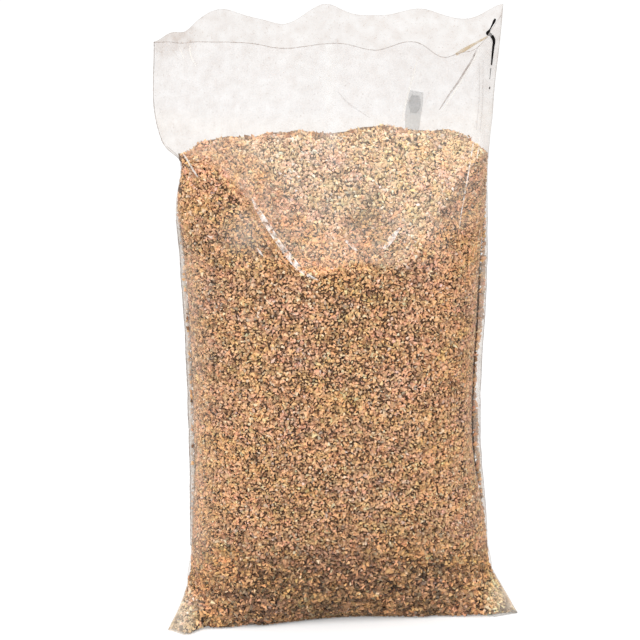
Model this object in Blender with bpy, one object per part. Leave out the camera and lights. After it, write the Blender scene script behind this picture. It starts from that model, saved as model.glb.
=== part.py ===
"""A clear polythene sack of wood smoking chips, standing on its base with the mouth open.

Two pieces: film_bag is the sack itself, one thin film bent round into a wall, a flat
base and two ears, and joined to itself along the bottom weld. chip_fill is the heap of
chips that fills it, with a sloping top.

Metres, +Z up. The front of the sack looks toward -Y and the base lies on Z = 0.
"""

import bpy
import numpy as np

# The sack
LAY_FLAT = 0.600        # width of the tube when it is pressed flat, crease to crease
FILM = 0.0002           # thickness of the film
RIM_HEIGHT = 1.014      # the back of the mouth above the floor, between its waves
FRONT_LOWER = 0.007     # the front of the mouth lies this much lower

# Depth of the sack, front to back, going up. The film doesn't stretch, so the width at
# each height is whatever the lay-flat width leaves over.
FOOT_DEPTH = 0.192
BELLY_DEPTH = 0.226
CHEST_DEPTH = 0.206
SHOULDER_DEPTH = 0.174
NECK_DEPTH = 0.166
MOUTH_DEPTH = 0.170

# Heights of those depths above the floor
FOOT_HEIGHT = 0.070
BELLY_HEIGHT = 0.310
CHEST_HEIGHT = 0.560
SHOULDER_HEIGHT = 0.790
NECK_HEIGHT = 0.875

# How far the middle of the sack leans to the left on the way up
BELLY_LEAN = 0.012
SHOULDER_LEAN = 0.018
MOUTH_LEAN = 0.025

# Side fins: the film pinched flat along its creases, beside the belly
FIN_LEFT = 0.007
FIN_RIGHT = 0.015
FIN_GAP = 0.0020        # half the space between the two films at a fin's root

# Base
EDGE_RADIUS = 0.040     # how far the wall turns under, seen from above
EDGE_HEIGHT = 0.080     # height at which it begins to turn, in the middle
MOST_TURNED = 0.6       # the turn takes at most this share of the way to the weld
EAR_DROP = 0.056        # height on the crease where the ears begin
EAR_SPAN = 0.085        # length of weld that shows at each ear
EAR_FLARE = 0.007       # the creases swing out this far where the ears begin
EAR_STRAIGHT = 0.6      # within this share of an ear's span its top falls straight
EAR_FADE = 2.0          # and past this share the wall turns under as it does elsewhere
WELD_MIDDLE = 0.066     # the bottom weld lies this far behind the foot's front, halfway
WELD_ROOT = 0.012       # the same where the ears begin
WELD_TIP_LEFT = 0.021   # the same at the ears' tips
WELD_TIP_RIGHT = 0.020
WELD_LEFT = 0.003       # the weld's middle lies this far left of the foot's
WELD_WIDTH = 0.003      # fused strip along the weld
CREASE_PINCH = 0.0012   # the film is pressed together this far in along its creases

# Front left corner of the base sags forward under the load
SAG = 0.034
SAG_HEIGHT = 0.160
SAG_PLACE = 0.10        # share of the way across, from the left
SAG_SPREAD = 0.15

# Mouth: the cut edge rises and falls. Places run from 0 at the left crease to 1 at the
# right one, along the back rim or the front rim.
BACK_HUMPS = ((0.21, 0.024), (0.51, 0.023), (0.78, 0.016))
HUMP_WIDTH = 0.075
FRONT_DIPS = ((0.36, 0.006), (0.64, 0.014), (0.83, 0.036), (0.94, 0.032))
DIP_WIDTH = 0.065
CORNER_TIP = 0.031      # the right crease ends in a raised tip
CORNER_FLARE = 0.014    # which leans outward
CORNER_SLUMP = 0.016    # and the left one in a lowered corner
CORNER_WIDTH = 0.050
DRAPE = 0.007           # depth of the upright waves in the empty film
DRAPE_WAVES = 3.5       # waves across each side
BACK_PHASE = 0.6        # where each side's first wave begins
FRONT_PHASE = 2.1
FOLD_DEPTH = 0.020      # dent across the left shoulder, where the film turns in
FOLD_HEIGHT = 0.797
FOLD_WIDTH = 0.018
EDGE_REACH = 0.16       # share of the front over which a crease's dent or flare fades out

# Chips
CLEARANCE = 0.0003      # between the film and the chips
CREASE_CLEARANCE = 0.008    # the chips stop this far short of a crease
EAR_CLEARANCE = 0.012   # and this far short of the weld at the ears
HEAP_BACK = 0.826       # height of the heap against the back film
HEAP_FRONT = 0.625      # its lowest height against the front film
HOLLOW_MIDDLE = 0.008   # the slump's middle, to the right of the sack's
HOLLOW_FLOOR = 0.075    # half the slump's width at its bottom
HOLLOW_BRIM = 0.255     # and at its brim
HEAP_TILT = 0.010       # the heap is banked up this much more at the back right
TILT_REACH = 0.12       # all of it from this far right of the middle
ENDS = (-0.262, 0.255)  # where the heap meets the creases, across
ENDS_DROP = (0.031, 0.036)  # it falls this far toward them
ENDS_SPAN = (0.100, 0.065)  # over this length
CHIP_RELIEF = 0.0040    # the chips lie back from the film by up to this much, here and there
HEAP_LUMPS = 0.006      # unevenness of the heap
LUMP_WIDE = 0.153       # lengths of its coarse and fine waves, across and front to back
LUMP_DEEP = 0.110
LUMP_FINE_WIDE = 0.068
LUMP_FINE_DEEP = 0.088
LUMP_FINE = 0.5         # height of the fine waves, as a share of the coarse ones
LUMP_PHASE = 1.0        # where the first coarse wave begins
HEAP_MARGIN = 1.2       # the heap's surface is drawn this much wider and taller than the sack
DEEP_MARGIN = 1.6       # and this much deeper

# Facets
HALF_COLUMNS = 26       # facets across the front, and as many across the back
LOWER_ROWS = 18
SHOULDER_ROWS = 7
HEAD_ROWS = 6
EDGE_ROWS = 4
BASE_ROWS = 3
HEAP_ACROSS = 26        # facets of the heap
HEAP_DEEP = 12
OUTLINE_STEPS = 400     # points along a section before it is shared out evenly
BISECTIONS = 40         # steps in finding a section's width
RELIEF_SEED = 5
LEAST_MITRE = 0.35      # keeps corners from growing spikes where the film bends sharply

COLUMNS = 2 * HALF_COLUMNS


def smoothstep(low, high, value):
    t = np.clip((np.asarray(value, float) - low) / (high - low), 0.0, 1.0)
    return t * t * (3.0 - 2.0 * t)


def bump(centre, width, value):
    return np.exp(-(((np.asarray(value, float) - centre) / width) ** 2))


def through(heights, values, z):
    """A smooth curve through a few values, flat past either end."""
    heights = np.asarray(heights, float)
    values = np.asarray(values, float)
    slopes = np.gradient(values, heights)
    slopes[0] = slopes[-1] = 0.0
    z = float(np.clip(z, heights[0], heights[-1]))
    k = int(np.clip(np.searchsorted(heights, z) - 1, 0, len(heights) - 2))
    step = heights[k + 1] - heights[k]
    t = (z - heights[k]) / step
    start = (1 + 2 * t) * (1 - t) ** 2 * values[k] + t * (1 - t) ** 2 * step * slopes[k]
    end = t * t * (3 - 2 * t) * values[k + 1] + t * t * (t - 1) * step * slopes[k + 1]
    return start + end


STATIONS = (FOOT_HEIGHT, BELLY_HEIGHT, CHEST_HEIGHT, SHOULDER_HEIGHT, NECK_HEIGHT, RIM_HEIGHT)
DEPTHS = (FOOT_DEPTH, BELLY_DEPTH, CHEST_DEPTH, SHOULDER_DEPTH, NECK_DEPTH, MOUTH_DEPTH)
LEANS = (0.0, BELLY_LEAN, BELLY_LEAN, SHOULDER_LEAN, MOUTH_LEAN, MOUTH_LEAN)
FULLNESS = (1.0, 0.86, 0.86, 0.78, 0.14, 0.0)   # 1 where the chips press the film out
SQUARENESS = 0.9        # how much a full section is squarer than an arc
BLUNTNESS = 1.3         # and how much blunter toward its creases


def half_outline(half_width, depth, fullness, fin_left, fin_right):
    """One side of a level section, crease to crease, as x and distance from the middle.

    fullness 0 is two shallow arcs that meet in a crease, and 1 is nearly a rectangle.
    """
    power = 2.0 + SQUARENESS * fullness
    root = 1.0 + BLUNTNESS * fullness
    angle = np.linspace(0.0, np.pi, OUTLINE_STEPS)
    left = half_width + fin_left
    right = half_width + fin_right
    x = 0.5 * (right - left) - 0.5 * (left + right) * np.cos(angle)
    inside = np.clip(1.0 - np.abs(x / half_width) ** power, 0.0, None)
    y = 0.5 * depth * inside ** (1.0 / root)
    for fin, reach in ((fin_left, left + x), (fin_right, right - x)):
        if fin > 0.0:
            y = np.hypot(y, FIN_GAP * np.clip(reach / fin, 0.0, 1.0) * (reach < 2.0 * fin))
    return x, y


def path_length(x, y):
    return float(np.hypot(np.diff(x), np.diff(y)).sum())


def off_creases(place):
    """0 on the creases and nearly 1 over the rest of a side."""
    return 1.0 - (2.0 * place - 1.0) ** 4


def emptiness(z):
    """0 beside the chips, rising to 1 at the mouth."""
    return smoothstep(CHEST_HEIGHT, RIM_HEIGHT, z)


def section(z):
    """Points across the front or back at height z, evenly spaced along the film."""
    depth = through(STATIONS, DEPTHS, z)
    fullness = through(STATIONS, FULLNESS, z)
    in_waves = (np.pi * DRAPE * emptiness(z) * DRAPE_WAVES / LAY_FLAT) ** 2
    film = LAY_FLAT * (1.0 - float(in_waves))
    beside = smoothstep(FOOT_HEIGHT, BELLY_HEIGHT, z)
    beside *= 1.0 - smoothstep(CHEST_HEIGHT, SHOULDER_HEIGHT, z)
    fins = (FIN_LEFT * beside, FIN_RIGHT * beside)
    narrow, wide = 0.1 * LAY_FLAT, 0.5 * LAY_FLAT
    for _ in range(BISECTIONS):
        half_width = 0.5 * (narrow + wide)
        x, y = half_outline(half_width, depth, fullness, *fins)
        if path_length(x, y) > film:
            wide = half_width
        else:
            narrow = half_width
    along = np.concatenate(([0.0], np.cumsum(np.hypot(np.diff(x), np.diff(y)))))
    marks = np.linspace(0.0, along[-1], HALF_COLUMNS + 1)
    lean = through(STATIONS, LEANS, z)
    return np.interp(marks, along, x) - lean, np.interp(marks, along, y)


def rim_rise(place, back):
    """How far the cut edge of the mouth stands above or below RIM_HEIGHT."""
    rise = CORNER_TIP * bump(1.0, CORNER_WIDTH, place)
    rise -= CORNER_SLUMP * bump(0.0, CORNER_WIDTH, place)
    if back:
        for centre, height in BACK_HUMPS:
            rise += height * bump(centre, HUMP_WIDTH, place)
        return rise
    rise -= FRONT_LOWER * smoothstep(0.0, 2.0 * CORNER_WIDTH, min(place, 1.0 - place))
    for centre, depth in FRONT_DIPS:
        rise -= depth * bump(centre, DIP_WIDTH, place)
    return rise


def wall_point(place, back, height):
    """A point of the film's middle surface, for a place across the sack and a height.

    height is the share of the way up: the film's rows follow the cut edge near the top.
    """
    lift = smoothstep(NECK_HEIGHT, RIM_HEIGHT, height) * rim_rise(place, back)
    xs, ys = section(height)
    spots = np.linspace(0.0, 1.0, HALF_COLUMNS + 1)
    x = float(np.interp(place, spots, xs))
    y = float(np.interp(place, spots, ys))
    side = 1.0 if back else -1.0
    phase = BACK_PHASE if back else FRONT_PHASE
    wave = np.sin(2.0 * np.pi * DRAPE_WAVES * place + phase)
    y = side * y + DRAPE * emptiness(height) * off_creases(place) * wave
    if not back:
        corner = bump(SAG_PLACE, SAG_SPREAD, place) * bump(0.0, SAG_HEIGHT, height)
        y -= SAG * corner * off_creases(place)
    left_edge = 1.0 - smoothstep(0.0, EDGE_REACH, place)
    right_edge = smoothstep(1.0 - EDGE_REACH, 1.0, place)
    x += FOLD_DEPTH * left_edge * bump(FOLD_HEIGHT, FOLD_WIDTH, height)
    x += CORNER_FLARE * bump(1.0, CORNER_WIDTH, place) * smoothstep(NECK_HEIGHT, RIM_HEIGHT, height)
    x += EAR_FLARE * (right_edge - left_edge) * (1.0 - smoothstep(EAR_DROP, 2.0 * EAR_DROP, height))
    return np.array((x, y, height + lift))


def weld_line():
    """The bottom weld on the floor, from the left ear's tip to the right one's."""
    places = np.linspace(0.0, 1.0, HALF_COLUMNS + 1)
    root = EAR_SPAN / LAY_FLAT
    stops = (0.0, root, 0.5, 1.0 - root, 1.0)
    setbacks = (WELD_TIP_LEFT, WELD_ROOT, WELD_MIDDLE, WELD_ROOT, WELD_TIP_RIGHT)
    x = (places - 0.5) * LAY_FLAT - WELD_LEFT
    y = [through(stops, setbacks, place) - 0.5 * FOOT_DEPTH for place in places]
    return np.stack((x, np.array(y), np.full_like(x, 0.5 * FILM)), axis=1)


def turn_under(wall, weld, slope, share):
    """A point on the way from the wall's foot to the weld, for share 0 to 1.

    slope 0 rounds the film under and runs it flat along the floor. slope 1 lets it
    fall straight to the weld, as it does on top of an ear.
    """
    floor = 0.5 * FILM
    flat = weld[:2] - wall[:2]
    distance = max(float(np.hypot(*flat)), 1e-6)
    radius = min(EDGE_RADIUS, MOST_TURNED * distance)
    turned = EDGE_ROWS / (EDGE_ROWS + BASE_ROWS)
    if share <= turned:
        angle = 0.5 * np.pi * share / turned
        travel = radius * (1.0 - np.cos(angle)) / distance
        height = floor + (wall[2] - floor) * (1.0 - np.sin(angle))
    else:
        rest = (share - turned) / (1.0 - turned)
        travel = (radius + (distance - radius) * rest) / distance
        height = floor
    rounded = np.array((*(wall[:2] + flat * travel), height))
    straight = wall + (weld - wall) * share
    return (1.0 - slope) * rounded + slope * straight


def from_foot(place, height):
    """The lower rows start where the wall turns under: higher in the middle than at the ears."""
    top = SHOULDER_HEIGHT
    start = EAR_DROP + (EDGE_HEIGHT - EAR_DROP) * off_creases(place)
    if height >= top:
        return height
    return top - (top - height) * (top - start) / (top - EAR_DROP)


def middle_surface():
    """Rows of the film's middle surface from the weld up to the mouth, centred on Z.

    Each row goes round the sack: the front from left to right, then the back from
    right to left. The first row is the weld, where front and back are one line.
    """
    places = np.linspace(0.0, 1.0, HALF_COLUMNS + 1)
    around = [(p, False) for p in places[:-1]] + [(p, True) for p in places[:0:-1]]
    levels = np.concatenate((
        np.linspace(EAR_DROP, SHOULDER_HEIGHT, LOWER_ROWS + 1)[:-1],
        np.linspace(SHOULDER_HEIGHT, NECK_HEIGHT, SHOULDER_ROWS + 1)[:-1],
        np.linspace(NECK_HEIGHT, RIM_HEIGHT, HEAD_ROWS + 1),
    ))
    walls = [np.array([wall_point(p, back, from_foot(p, z)) for p, back in around]) for z in levels]
    foot = walls[0]
    weld = weld_line()
    weld = np.concatenate((weld, weld[-2:0:-1]))
    reach = EAR_SPAN / LAY_FLAT
    rows = []
    turns = EDGE_ROWS + BASE_ROWS
    for k in range(turns, 0, -1):
        row = []
        for j, (place, back) in enumerate(around):
            end = min(place, 1.0 - place)
            slope = float(1.0 - smoothstep(EAR_STRAIGHT * reach, EAR_FADE * reach, end))
            if back and end > 0.0:
                slope = 0.0
            row.append(turn_under(foot[j], weld[j], slope, k / turns))
        rows.append(np.array(row))
    rows += walls
    low = np.min([row.min(axis=0) for row in rows], axis=0)
    high = np.max([row.max(axis=0) for row in rows], axis=0)
    middle = 0.5 * (low + high)
    return [row - (middle[0], middle[1], 0.0) for row in rows]


def grid_faces(rows):
    """Triangles of a surface of rows, the first of them folded flat into the weld.

    The triangles of the left half mirror those of the right, so that both ears open alike.
    """
    def index(i, j):
        j %= COLUMNS
        if i == 0:
            return min(j, COLUMNS - j)
        return HALF_COLUMNS + 1 + (i - 1) * COLUMNS + j
    faces = []
    for i in range(len(rows) - 1):
        for j in range(COLUMNS):
            a, b = index(i, j), index(i, j + 1)
            c, d = index(i + 1, j + 1), index(i + 1, j)
            if (j // (HALF_COLUMNS // 2)) % 2 == 0:
                faces += [(a, b, c), (a, c, d)]
            else:
                faces += [(a, b, d), (b, c, d)]
    return faces, [index(len(rows) - 1, j) for j in range(COLUMNS)]


def grid_points(rows):
    return np.concatenate([rows[0][:HALF_COLUMNS + 1]] + list(rows[1:]))


def outward(points, faces):
    """At each point, the direction out of the sack, lengthened where the film bends."""
    faces = np.array(faces)
    corners = points[faces]
    flat = np.cross(corners[:, 1] - corners[:, 0], corners[:, 2] - corners[:, 0])
    unit = flat / np.maximum(np.linalg.norm(flat, axis=1, keepdims=True), 1e-12)
    total = np.zeros_like(points)
    for k in range(3):
        ahead = corners[:, (k + 1) % 3] - corners[:, k]
        behind = corners[:, (k + 2) % 3] - corners[:, k]
        sine = np.linalg.norm(np.cross(ahead, behind), axis=1)
        angle = np.arctan2(sine, np.einsum("ij,ij->i", ahead, behind))
        np.add.at(total, faces[:, k], unit * angle[:, None])
    total /= np.maximum(np.linalg.norm(total, axis=1, keepdims=True), 1e-12)
    least = np.ones(len(points))
    for k in range(3):
        np.minimum.at(least, faces[:, k], np.einsum("ij,ij->i", unit, total[faces[:, k]]))
    return total / np.clip(least, LEAST_MITRE, 1.0)[:, None]


def new_object(name, points, faces, color, roughness, alpha=1.0):
    mesh = bpy.data.meshes.new(name)
    mesh.from_pydata([tuple(p) for p in points], [], [tuple(f) for f in faces])
    mesh.update()
    mesh.shade_smooth()
    material = bpy.data.materials.new(name)
    material.use_nodes = True
    shader = material.node_tree.nodes["Principled BSDF"]
    shader.inputs["Base Color"].default_value = (*color, 1.0)
    shader.inputs["Roughness"].default_value = roughness
    shader.inputs["Metallic"].default_value = 0.0
    shader.inputs["Alpha"].default_value = alpha
    mesh.materials.append(material)
    made = bpy.data.objects.new(name, mesh)
    bpy.context.collection.objects.link(made)
    return made


def level_step(start, target, distance):
    """A level step from start toward target, at most halfway."""
    toward = target[:2] - start[:2]
    length = np.linalg.norm(toward)
    toward = toward / length * min(distance, 0.5 * length)
    return np.array((toward[0], toward[1], 0.0))


def inset(rows, depth, at_crease, at_weld, weld_height, further=0.0):
    """The rows' surface moved into the sack: by depth, and further at creases and weld."""
    points = grid_points(rows)
    faces, rim = grid_faces(rows)
    way = outward(points, faces)
    moved = points - depth * way - np.reshape(further, (-1, 1)) * way
    for i, row in enumerate(rows[1:]):
        for j in (0, HALF_COLUMNS):
            spot = HALF_COLUMNS + 1 + i * COLUMNS + j
            middle = 0.5 * (row[j - 1] + row[j + 1])
            moved[spot] = row[j] + level_step(row[j], middle, at_crease)
    weld, above = rows[0], rows[1]
    for j in range(HALF_COLUMNS + 1):
        target = above[(COLUMNS - j) % COLUMNS]
        if j in (0, HALF_COLUMNS):
            beside = 1 if j == 0 else HALF_COLUMNS - 1
            target = 0.5 * (weld[beside] + above[COLUMNS - beside])
        moved[j] = weld[j] + level_step(weld[j], target, at_weld)
        moved[j, 2] = weld_height
    return moved, faces, rim


def lying_back(rows, points):
    """How far the chips lie back from the film at each point, leaving out creases and base."""
    chance = np.random.default_rng(RELIEF_SEED)
    back = CHIP_RELIEF * chance.random(len(points))
    places = np.abs(np.arange(COLUMNS) - HALF_COLUMNS) / HALF_COLUMNS
    back[:HALF_COLUMNS + 1] = 0.0
    back[HALF_COLUMNS + 1:] *= np.tile(off_creases(places), len(rows) - 1)
    return back * smoothstep(0.5 * EAR_DROP, EDGE_HEIGHT, points[:, 2])


def film_bag(rows):
    """The sack: outer and inner surface of one film, closed at the rim and the weld."""
    points = grid_points(rows)
    inner, faces, rim = inset(rows, 0.5 * FILM, CREASE_PINCH, WELD_WIDTH, 2.0 * FILM)
    outer = points + 0.5 * FILM * outward(points, faces)
    outer[:, 2] = np.maximum(outer[:, 2], 0.0)
    outer[:HALF_COLUMNS + 1, :2] = points[:HALF_COLUMNS + 1, :2]
    outer[:HALF_COLUMNS + 1, 2] = 0.0
    count = len(points)
    shell = list(faces)
    shell += [(c + count, b + count, a + count) for a, b, c in faces]
    for j in range(COLUMNS):
        a, b = rim[j], rim[(j + 1) % COLUMNS]
        shell.append((a, b, b + count))
        shell.append((a, b + count, a + count))
    both = np.concatenate((outer, inner))
    return new_object("film_bag", both, shell, (0.93, 0.92, 0.90), 0.15, 0.25)


def heap_top(x, y):
    """Height of the chips: banked up against the back, slumped at the front middle."""
    hollow = 1.0 - smoothstep(HOLLOW_FLOOR, HOLLOW_BRIM, abs(x - HOLLOW_MIDDLE))
    forward = smoothstep(0.5 * CHEST_DEPTH, -0.5 * CHEST_DEPTH, y)
    fall = (HEAP_BACK - HEAP_FRONT) * hollow * forward
    banked = HEAP_TILT * smoothstep(0.0, TILT_REACH, x) * (1.0 - forward) ** 2
    for end, drop, span in zip(ENDS, ENDS_DROP, ENDS_SPAN):
        fall += drop * np.clip(1.0 - abs(end - x) / span, 0.0, 1.0) ** 2
    turn = 2.0 * np.pi
    coarse = np.sin(turn * x / LUMP_WIDE + LUMP_PHASE) * np.sin(turn * y / LUMP_DEEP)
    fine = np.sin(turn * x / LUMP_FINE_WIDE) * np.cos(turn * y / LUMP_FINE_DEEP)
    return HEAP_BACK - fall + banked + HEAP_LUMPS * (coarse + LUMP_FINE * fine)


def chip_fill(rows):
    """The chips: the inside of the sack, cut off along the heap's surface."""
    enough = HEAP_BACK + HEAP_TILT + 2.0 * HEAP_LUMPS
    top = next(i for i, row in enumerate(rows) if row[:, 2].min() > enough)
    resting = 2.0 * FILM + 2.0 * CLEARANCE
    rows = rows[:top + 1]
    further = lying_back(rows, grid_points(rows))
    inside, faces, rim = inset(
        rows, 0.5 * FILM + CLEARANCE, CREASE_CLEARANCE, EAR_CLEARANCE, resting, further)
    lid = len(inside)
    inside = np.concatenate((inside, inside[rim].mean(axis=0, keepdims=True)))
    faces += [(rim[j], rim[(j + 1) % COLUMNS], lid) for j in range(COLUMNS)]
    fill = new_object("chip_fill", inside, faces, (0.55, 0.36, 0.20), 0.85)
    cut = fill.modifiers.new("heap", "BOOLEAN")
    cut.operation = "DIFFERENCE"
    cut.solver = "EXACT"
    cut.object = heap_cutter()
    return fill


def heap_cutter():
    """A block whose underside is the heap's surface."""
    across, deep = HEAP_ACROSS, HEAP_DEEP
    half_wide, half_deep = 0.5 * HEAP_MARGIN * LAY_FLAT, 0.5 * DEEP_MARGIN * BELLY_DEPTH
    xs = np.linspace(-half_wide, half_wide, across + 1)
    ys = np.linspace(-half_deep, half_deep, deep + 1)
    lid = HEAP_MARGIN * RIM_HEIGHT
    points = [(x, y, heap_top(x, y)) for x in xs for y in ys] + [(x, y, lid) for x in xs for y in ys]
    half = (across + 1) * (deep + 1)
    faces = []
    for i in range(across):
        for j in range(deep):
            a, b = i * (deep + 1) + j, (i + 1) * (deep + 1) + j
            faces += [(a, a + 1, b), (b, a + 1, b + 1)]
            faces.append((a + half, b + half, b + 1 + half, a + 1 + half))
    edge = [i * (deep + 1) for i in range(across + 1)]
    edge += [across * (deep + 1) + j for j in range(1, deep + 1)]
    edge += [i * (deep + 1) + deep for i in range(across - 1, -1, -1)]
    edge += [j for j in range(deep - 1, 0, -1)]
    for k, a in enumerate(edge):
        b = edge[(k + 1) % len(edge)]
        faces.append((a, b, b + half, a + half))
    cutter = new_object("heap_cutter", points, faces, (0.5, 0.5, 0.5), 0.5)
    cutter.hide_render = True
    cutter.display_type = "WIRE"
    return cutter


def main():
    for old in list(bpy.data.objects):
        bpy.data.objects.remove(old)
    rows = middle_surface()
    film_bag(rows)
    chip_fill(rows)


main()
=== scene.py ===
"""The sack of smoking chips as it looks: fine clear film with its folds, and loose chips."""

import math

import bpy
import numpy as np
from mathutils import Matrix, Vector
from mathutils.bvhtree import BVHTree


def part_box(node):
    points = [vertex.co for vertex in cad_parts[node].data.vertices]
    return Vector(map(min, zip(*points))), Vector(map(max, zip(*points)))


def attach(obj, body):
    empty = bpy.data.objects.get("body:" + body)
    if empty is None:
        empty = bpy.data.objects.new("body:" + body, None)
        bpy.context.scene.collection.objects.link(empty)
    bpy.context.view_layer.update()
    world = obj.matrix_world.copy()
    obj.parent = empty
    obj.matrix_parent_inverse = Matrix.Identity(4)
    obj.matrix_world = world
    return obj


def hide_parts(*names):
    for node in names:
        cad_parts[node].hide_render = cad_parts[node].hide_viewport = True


rng = np.random.default_rng(11)
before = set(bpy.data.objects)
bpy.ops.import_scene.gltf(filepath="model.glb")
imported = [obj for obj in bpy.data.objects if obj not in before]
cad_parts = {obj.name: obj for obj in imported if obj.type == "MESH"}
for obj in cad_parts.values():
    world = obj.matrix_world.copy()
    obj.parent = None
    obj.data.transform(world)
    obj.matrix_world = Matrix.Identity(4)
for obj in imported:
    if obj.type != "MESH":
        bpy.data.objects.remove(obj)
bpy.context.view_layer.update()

# The sack's form in metres, with the CAD's sizes
LAY_FLAT = 0.600        # width of the tube when it is pressed flat, crease to crease
FILM = 0.0002           # thickness of the film
RIM_HEIGHT = 1.014      # the back of the mouth above the floor, between its waves
FRONT_LOWER = 0.007     # the front of the mouth lies this much lower
# Heights of foot, belly, chest, shoulder, neck and rim, and there the depth, fullness and lean to the left
STATIONS = (0.070, 0.310, 0.560, 0.790, 0.875, RIM_HEIGHT)
DEPTHS = (0.192, 0.226, 0.206, 0.174, 0.166, 0.170)
FULLNESS = (1.0, 0.86, 0.86, 0.78, 0.14, 0.0)
LEANS = (0.0, 0.012, 0.012, 0.018, 0.025, 0.025)
FOOT_HEIGHT, BELLY_HEIGHT, CHEST_HEIGHT, SHOULDER_HEIGHT, NECK_HEIGHT = STATIONS[:5]
SQUARENESS, BLUNTNESS = 0.9, 1.3
FIN_LEFT, FIN_RIGHT, FIN_GAP = 0.007, 0.015, 0.0020
EDGE_RADIUS, EDGE_HEIGHT, MOST_TURNED = 0.040, 0.080, 0.6
EAR_DROP, EAR_SPAN, EAR_FLARE, EAR_STRAIGHT, EAR_FADE = 0.056, 0.085, 0.007, 0.6, 2.0
WELD_MIDDLE, WELD_ROOT, WELD_TIP_LEFT, WELD_TIP_RIGHT, WELD_LEFT = 0.066, 0.012, 0.021, 0.020, 0.003
SAG, SAG_HEIGHT, SAG_PLACE, SAG_SPREAD = 0.034, 0.160, 0.10, 0.15
CORNER_TIP, CORNER_FLARE, CORNER_SLUMP, CORNER_WIDTH = 0.031, 0.014, 0.016, 0.050
DRAPE, DRAPE_WAVES, BACK_PHASE, FRONT_PHASE = 0.007, 3.5, 0.6, 2.1
FOLD_DEPTH, FOLD_HEIGHT, FOLD_WIDTH, EDGE_REACH = 0.020, 0.797, 0.018, 0.16

# The film's own fine form, a little beyond the CAD's
BACK_HUMPS = ((0.21, 0.075, 0.024), (0.515, 0.058, 0.022), (0.78, 0.072, 0.016),
              (0.10, 0.035, -0.010), (0.395, 0.050, -0.011))    # place, width and rise
FRONT_DIPS = ((0.36, 0.065, 0.006), (0.62, 0.065, 0.014), (0.83, 0.065, 0.036), (0.94, 0.065, 0.032),
              (0.075, 0.040, 0.006))                            # place, width and fall
FOLD_WIDTH_BELOW = 0.050        # the dent at the left fades more slowly downward
FOOT_BULGES = ((-0.268, 0.021, 0.027), (0.255, 0.028, 0.008))   # x, width and how far it bulges forward
BULGE_HEIGHT = 0.090
# Wrinkles where the film hangs free: depth, cells around the sack, height of a cell, and seed
WRINKLES = ((0.0030, 26, 0.110, 1), (0.0013, 60, 0.045, 2), (0.0006, 120, 0.018, 3))
RIPPLE, RIPPLE_CELLS, RIPPLE_HEIGHT, RIPPLE_SEED = 0.0014, 40, 0.022, 4
RIPPLE_REACH = 0.05             # share of the width over which the ripple at a crease fades
RIPPLED = (0.10, 0.30, 0.70, 0.80)

# How finely the film is worked out
ACROSS = 150                    # facets across the front, and as many across the back
AROUND = 2 * ACROSS
TABLE_LOW, TABLE_STEP = 0.05, 0.003
OUTLINE_POINTS, WIDTH_TRIES = 400, 24
WALL_ROWS, MOUTH_ROWS = 160, 70
TURN_ROWS, BASE_SHARE = 20, 4.0 / 7.0
TINY = 1e-12

# The photograph's camera: turned and raised round a point on the sack's axis
TURN, RAISE, AWAY = math.radians(-6.893), math.radians(17.82), 5.346
TARGET = Vector((0.0, 0.0, 0.5))
FOCAL = 596.545 * AWAY          # in pixels of the 640-pixel frame
CENTRE = (337.487, 327.892)     # where the camera's axis meets the frame
FRAME = 640
SENSOR = 36.0


# Curves

def smoothstep(low, high, value):
    t = np.clip((np.asarray(value, float) - low) / (high - low), 0.0, 1.0)
    return t * t * (3.0 - 2.0 * t)


def stretch(start, full, fade, end, value):
    """1 between full and fade, and 0 outside start and end."""
    return smoothstep(start, full, value) * (1.0 - smoothstep(fade, end, value))


def bump(centre, width, value):
    return np.exp(-(((np.asarray(value, float) - centre) / width) ** 2))


def unit(vectors):
    return vectors / np.maximum(np.linalg.norm(vectors, axis=-1, keepdims=True), TINY)


def through(heights, values, z):
    """A smooth curve through a few values, flat past either end."""
    heights = np.asarray(heights, float)
    values = np.asarray(values, float)
    slopes = np.gradient(values, heights)
    slopes[0] = slopes[-1] = 0.0
    z = float(np.clip(z, heights[0], heights[-1]))
    k = int(np.clip(np.searchsorted(heights, z) - 1, 0, len(heights) - 2))
    step = heights[k + 1] - heights[k]
    t = (z - heights[k]) / step
    start = (1 + 2 * t) * (1 - t) ** 2 * values[k] + t * (1 - t) ** 2 * step * slopes[k]
    end = t * t * (3 - 2 * t) * values[k + 1] + t * t * (t - 1) * step * slopes[k + 1]
    return start + end


NOISE_ROWS = 256


def value_noise(u, v, cells_u, seed):
    """Smooth noise in -1..1 that repeats after cells_u cells along u."""
    table = np.random.default_rng(seed).uniform(-1.0, 1.0, (cells_u, NOISE_ROWS))
    iu, iv = np.floor(u).astype(int), np.floor(v).astype(int)
    fu, fv = u - iu, v - iv
    fu, fv = fu * fu * (3 - 2 * fu), fv * fv * (3 - 2 * fv)
    left, right = iu % cells_u, (iu + 1) % cells_u
    low, high = iv % NOISE_ROWS, (iv + 1) % NOISE_ROWS
    below = table[left, low] * (1 - fu) + table[right, low] * fu
    above = table[left, high] * (1 - fu) + table[right, high] * fu
    return below * (1 - fv) + above * fv


# The film's wall, level by level, by the CAD's rules

place = np.concatenate((np.arange(ACROSS) / ACROSS, 1.0 - np.arange(ACROSS) / ACROSS))
back = np.arange(AROUND) >= ACROSS
column = np.rint(place * ACROSS).astype(int)
around = np.arange(AROUND)[None, :] / AROUND


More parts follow.
